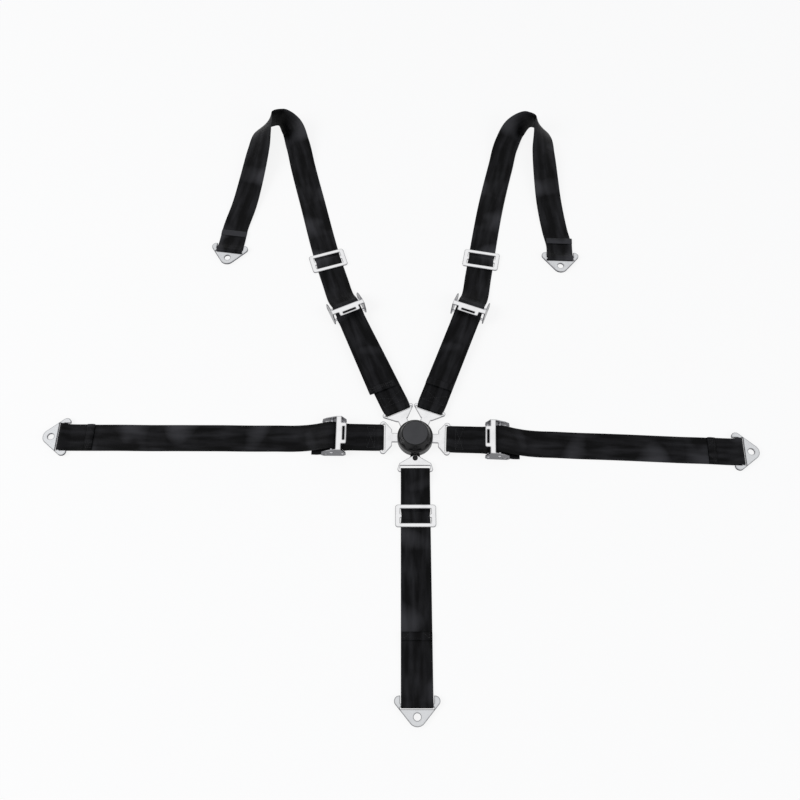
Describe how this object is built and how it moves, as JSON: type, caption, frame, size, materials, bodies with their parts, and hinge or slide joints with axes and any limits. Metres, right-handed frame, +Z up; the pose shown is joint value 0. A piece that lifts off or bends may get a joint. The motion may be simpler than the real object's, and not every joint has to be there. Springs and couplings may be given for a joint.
{
  "type": "racing harness",
  "caption": "Five-point racing harness laid flat: round cam-lock buckle, two lap, two shoulder and one crotch belt with tilt-lock adjusters, slides and bolt-in anchor plates.",
  "frame": {"origin": "centre of the buckle's back face, on the surface that the harness lies on", "axes": "+Z up off that surface, +Y towards the shoulder belts, +X towards the right-hand lap belt"},
  "size_m": [1.2681, 1.2177, 0.0536],
  "materials": {
    "webbing": "black woven polyester with a slight sheen",
    "bright_plate": "bright zinc or nickel plated steel",
    "satin_plate": "satin plated steel",
    "tool_steel": "plain steel",
    "spring_steel": "oiled spring steel",
    "buckle_black": "black",
    "knob_grey": "matte dark grey"
  },
  "bodies": {
    "buckle": {"buckle_back_plate": "buckle_black", "buckle_housing": "buckle_black", "housing_screws": "tool_steel", "centre_post": "tool_steel", "knob_circlip": "tool_steel", "crotch_rivet": "tool_steel", "knob_return_springs": "spring_steel"},
    "knob": {"release_knob": "buckle_black", "knob_cap": "knob_grey", "release_cam": "tool_steel"},
    "latch": {"latch_plate": "tool_steel", "latch_pins": "tool_steel"},
    "lap_left_tongue": {"lap_left_tongue": "bright_plate", "lap_left_short_strap": "webbing"},
    "lap_left_adjuster": {"lap_left_adjuster_frame": "bright_plate", "lap_left_anchor_bar": "tool_steel", "lap_left_lock_bar": "tool_steel"},
    "lap_left_strap": {"lap_left_long_strap": "webbing", "lap_left_pull_tail": "webbing"},
    "lap_left_anchor": {"lap_left_anchor_plate": "satin_plate"},
    "lap_right_tongue": {"lap_right_tongue": "bright_plate", "lap_right_short_strap": "webbing"},
    "lap_right_adjuster": {"lap_right_adjuster_frame": "bright_plate", "lap_right_anchor_bar": "tool_steel", "lap_right_lock_bar": "tool_steel"},
    "lap_right_strap": {"lap_right_long_strap": "webbing", "lap_right_pull_tail": "webbing"},
    "lap_right_anchor": {"lap_right_anchor_plate": "satin_plate"},
    "shoulder_left_tongue": {"shoulder_left_tongue": "bright_plate", "shoulder_left_short_strap": "webbing"},
    "shoulder_left_adjuster": {"shoulder_left_adjuster_frame": "bright_plate", "shoulder_left_anchor_bar": "tool_steel", "shoulder_left_lock_bar": "tool_steel"},
    "shoulder_left_strap": {"shoulder_left_long_strap": "webbing", "shoulder_left_pull_tail": "webbing", "shoulder_left_slide": "bright_plate"},
    "shoulder_left_anchor": {"shoulder_left_anchor_plate": "satin_plate"},
    "shoulder_right_tongue": {"shoulder_right_tongue": "bright_plate", "shoulder_right_short_strap": "webbing"},
    "shoulder_right_adjuster": {"shoulder_right_adjuster_frame": "bright_plate", "shoulder_right_anchor_bar": "tool_steel", "shoulder_right_lock_bar": "tool_steel"},
    "shoulder_right_strap": {"shoulder_right_long_strap": "webbing", "shoulder_right_pull_tail": "webbing", "shoulder_right_slide": "bright_plate"},
    "shoulder_right_anchor": {"shoulder_right_anchor_plate": "satin_plate"},
    "crotch": {"crotch_link": "bright_plate", "crotch_strap": "webbing", "crotch_slide": "bright_plate"},
    "crotch_anchor": {"crotch_anchor_plate": "satin_plate"}
  },
  "joints": [
    {"name": "knob_turn", "type": "hinge", "parent": "buckle", "child": "knob", "pos_m": [0, 0, 0.02], "axis": [0, 0, 1], "range_deg": [-45, 0]},
    {"name": "latch_drop", "type": "slide", "parent": "buckle", "child": "latch", "axis": [0, 0, 1], "range_m": [-0.0032, 0]},
    {"name": "lap_left_draw_out", "type": "slide", "parent": "buckle", "child": "lap_left_tongue", "axis": [-1, 0.0052, 0], "range_m": [0, 0.02]},
    {"name": "lap_left_tilt", "type": "hinge", "parent": "lap_left_tongue", "child": "lap_left_adjuster", "pos_m": [-0.1275, 0.00067, 0.01], "axis": [0.0052, 1, 0], "range_deg": [0, 20]},
    {"name": "lap_left_strap_follow", "type": "hinge", "parent": "lap_left_adjuster", "child": "lap_left_strap", "pos_m": [-0.147, 0.00077, 0.015], "axis": [0.0052, 1, 0], "range_deg": [-21, 0]},
    {"name": "lap_left_anchor_flop", "type": "hinge", "parent": "lap_left_strap", "child": "lap_left_anchor", "pos_m": [-0.62999, 0.0033, 0.00462], "axis": [0.0052, 1, 0], "range_deg": [0, 90]},
    {"name": "lap_right_draw_out", "type": "slide", "parent": "buckle", "child": "lap_right_tongue", "axis": [0.999, -0.0436, 0], "range_m": [0, 0.02]},
    {"name": "lap_right_tilt", "type": "hinge", "parent": "lap_right_tongue", "child": "lap_right_adjuster", "pos_m": [0.12938, -0.00565, 0.01], "axis": [-0.0436, -0.999, 0], "range_deg": [0, 20]},
    {"name": "lap_right_strap_follow", "type": "hinge", "parent": "lap_right_adjuster", "child": "lap_right_strap", "pos_m": [0.14886, -0.0065, 0.015], "axis": [-0.0436, -0.999, 0], "range_deg": [-21, 0]},
    {"name": "lap_right_anchor_flop", "type": "hinge", "parent": "lap_right_strap", "child": "lap_right_anchor", "pos_m": [0.57515, -0.02511, 0.00462], "axis": [-0.0436, -0.999, 0], "range_deg": [0, 90]},
    {"name": "shoulder_left_draw_out", "type": "slide", "parent": "buckle", "child": "shoulder_left_tongue", "axis": [-0.4163, 0.9092, 0], "range_m": [0, 0.02]},
    {"name": "shoulder_left_tilt", "type": "hinge", "parent": "shoulder_left_tongue", "child": "shoulder_left_adjuster", "pos_m": [-0.12237, 0.25358, 0.01], "axis": [0.9092, 0.4163, 0], "range_deg": [0, 20]},
    {"name": "shoulder_left_strap_follow", "type": "hinge", "parent": "shoulder_left_adjuster", "child": "shoulder_left_strap", "pos_m": [-0.13048, 0.27131, 0.015], "axis": [0.9092, 0.4163, 0], "range_deg": [-21, 0]},
    {"name": "shoulder_left_anchor_flop", "type": "hinge", "parent": "shoulder_left_strap", "child": "shoulder_left_anchor", "pos_m": [-0.3645, 0.4047, 0.00462], "axis": [-0.9903, 0.1392, 0], "range_deg": [0, 90]},
    {"name": "shoulder_right_draw_out", "type": "slide", "parent": "buckle", "child": "shoulder_right_tongue", "axis": [0.3535, 0.9354, 0], "range_m": [0, 0.02]},
    {"name": "shoulder_right_tilt", "type": "hinge", "parent": "shoulder_right_tongue", "child": "shoulder_right_adjuster", "pos_m": [0.10165, 0.25289, 0.01], "axis": [0.9354, -0.3535, 0], "range_deg": [0, 20]},
    {"name": "shoulder_right_strap_follow", "type": "hinge", "parent": "shoulder_right_adjuster", "child": "shoulder_right_strap", "pos_m": [0.10855, 0.27114, 0.015], "axis": [0.9354, -0.3535, 0], "range_deg": [-21, 0]},
    {"name": "shoulder_right_anchor_flop", "type": "hinge", "parent": "shoulder_right_strap", "child": "shoulder_right_anchor", "pos_m": [0.2887, 0.3854, 0.00462], "axis": [-0.9994, 0.0349, 0], "range_deg": [0, 90]},
    {"name": "crotch_swivel", "type": "hinge", "parent": "buckle", "child": "crotch", "pos_m": [0, -0.038, 0.0048], "axis": [0, 0, 1], "range_deg": [-15, 15]},
    {"name": "crotch_anchor_flop", "type": "hinge", "parent": "crotch", "child": "crotch_anchor", "pos_m": [0, -0.4504, 0.00462], "axis": [-1, 0, 0], "range_deg": [0, 90]}
  ],
  "couplings": [
    {"joint": "latch_drop", "follows": "knob_turn", "m_per_rad": 0.0040744},
    {"joint": "lap_left_strap_follow", "follows": "lap_left_tilt", "ratio": -1.03},
    {"joint": "lap_right_strap_follow", "follows": "lap_right_tilt", "ratio": -1.03},
    {"joint": "shoulder_left_strap_follow", "follows": "shoulder_left_tilt", "ratio": -1.03},
    {"joint": "shoulder_right_strap_follow", "follows": "shoulder_right_tilt", "ratio": -1.03}
  ]
}
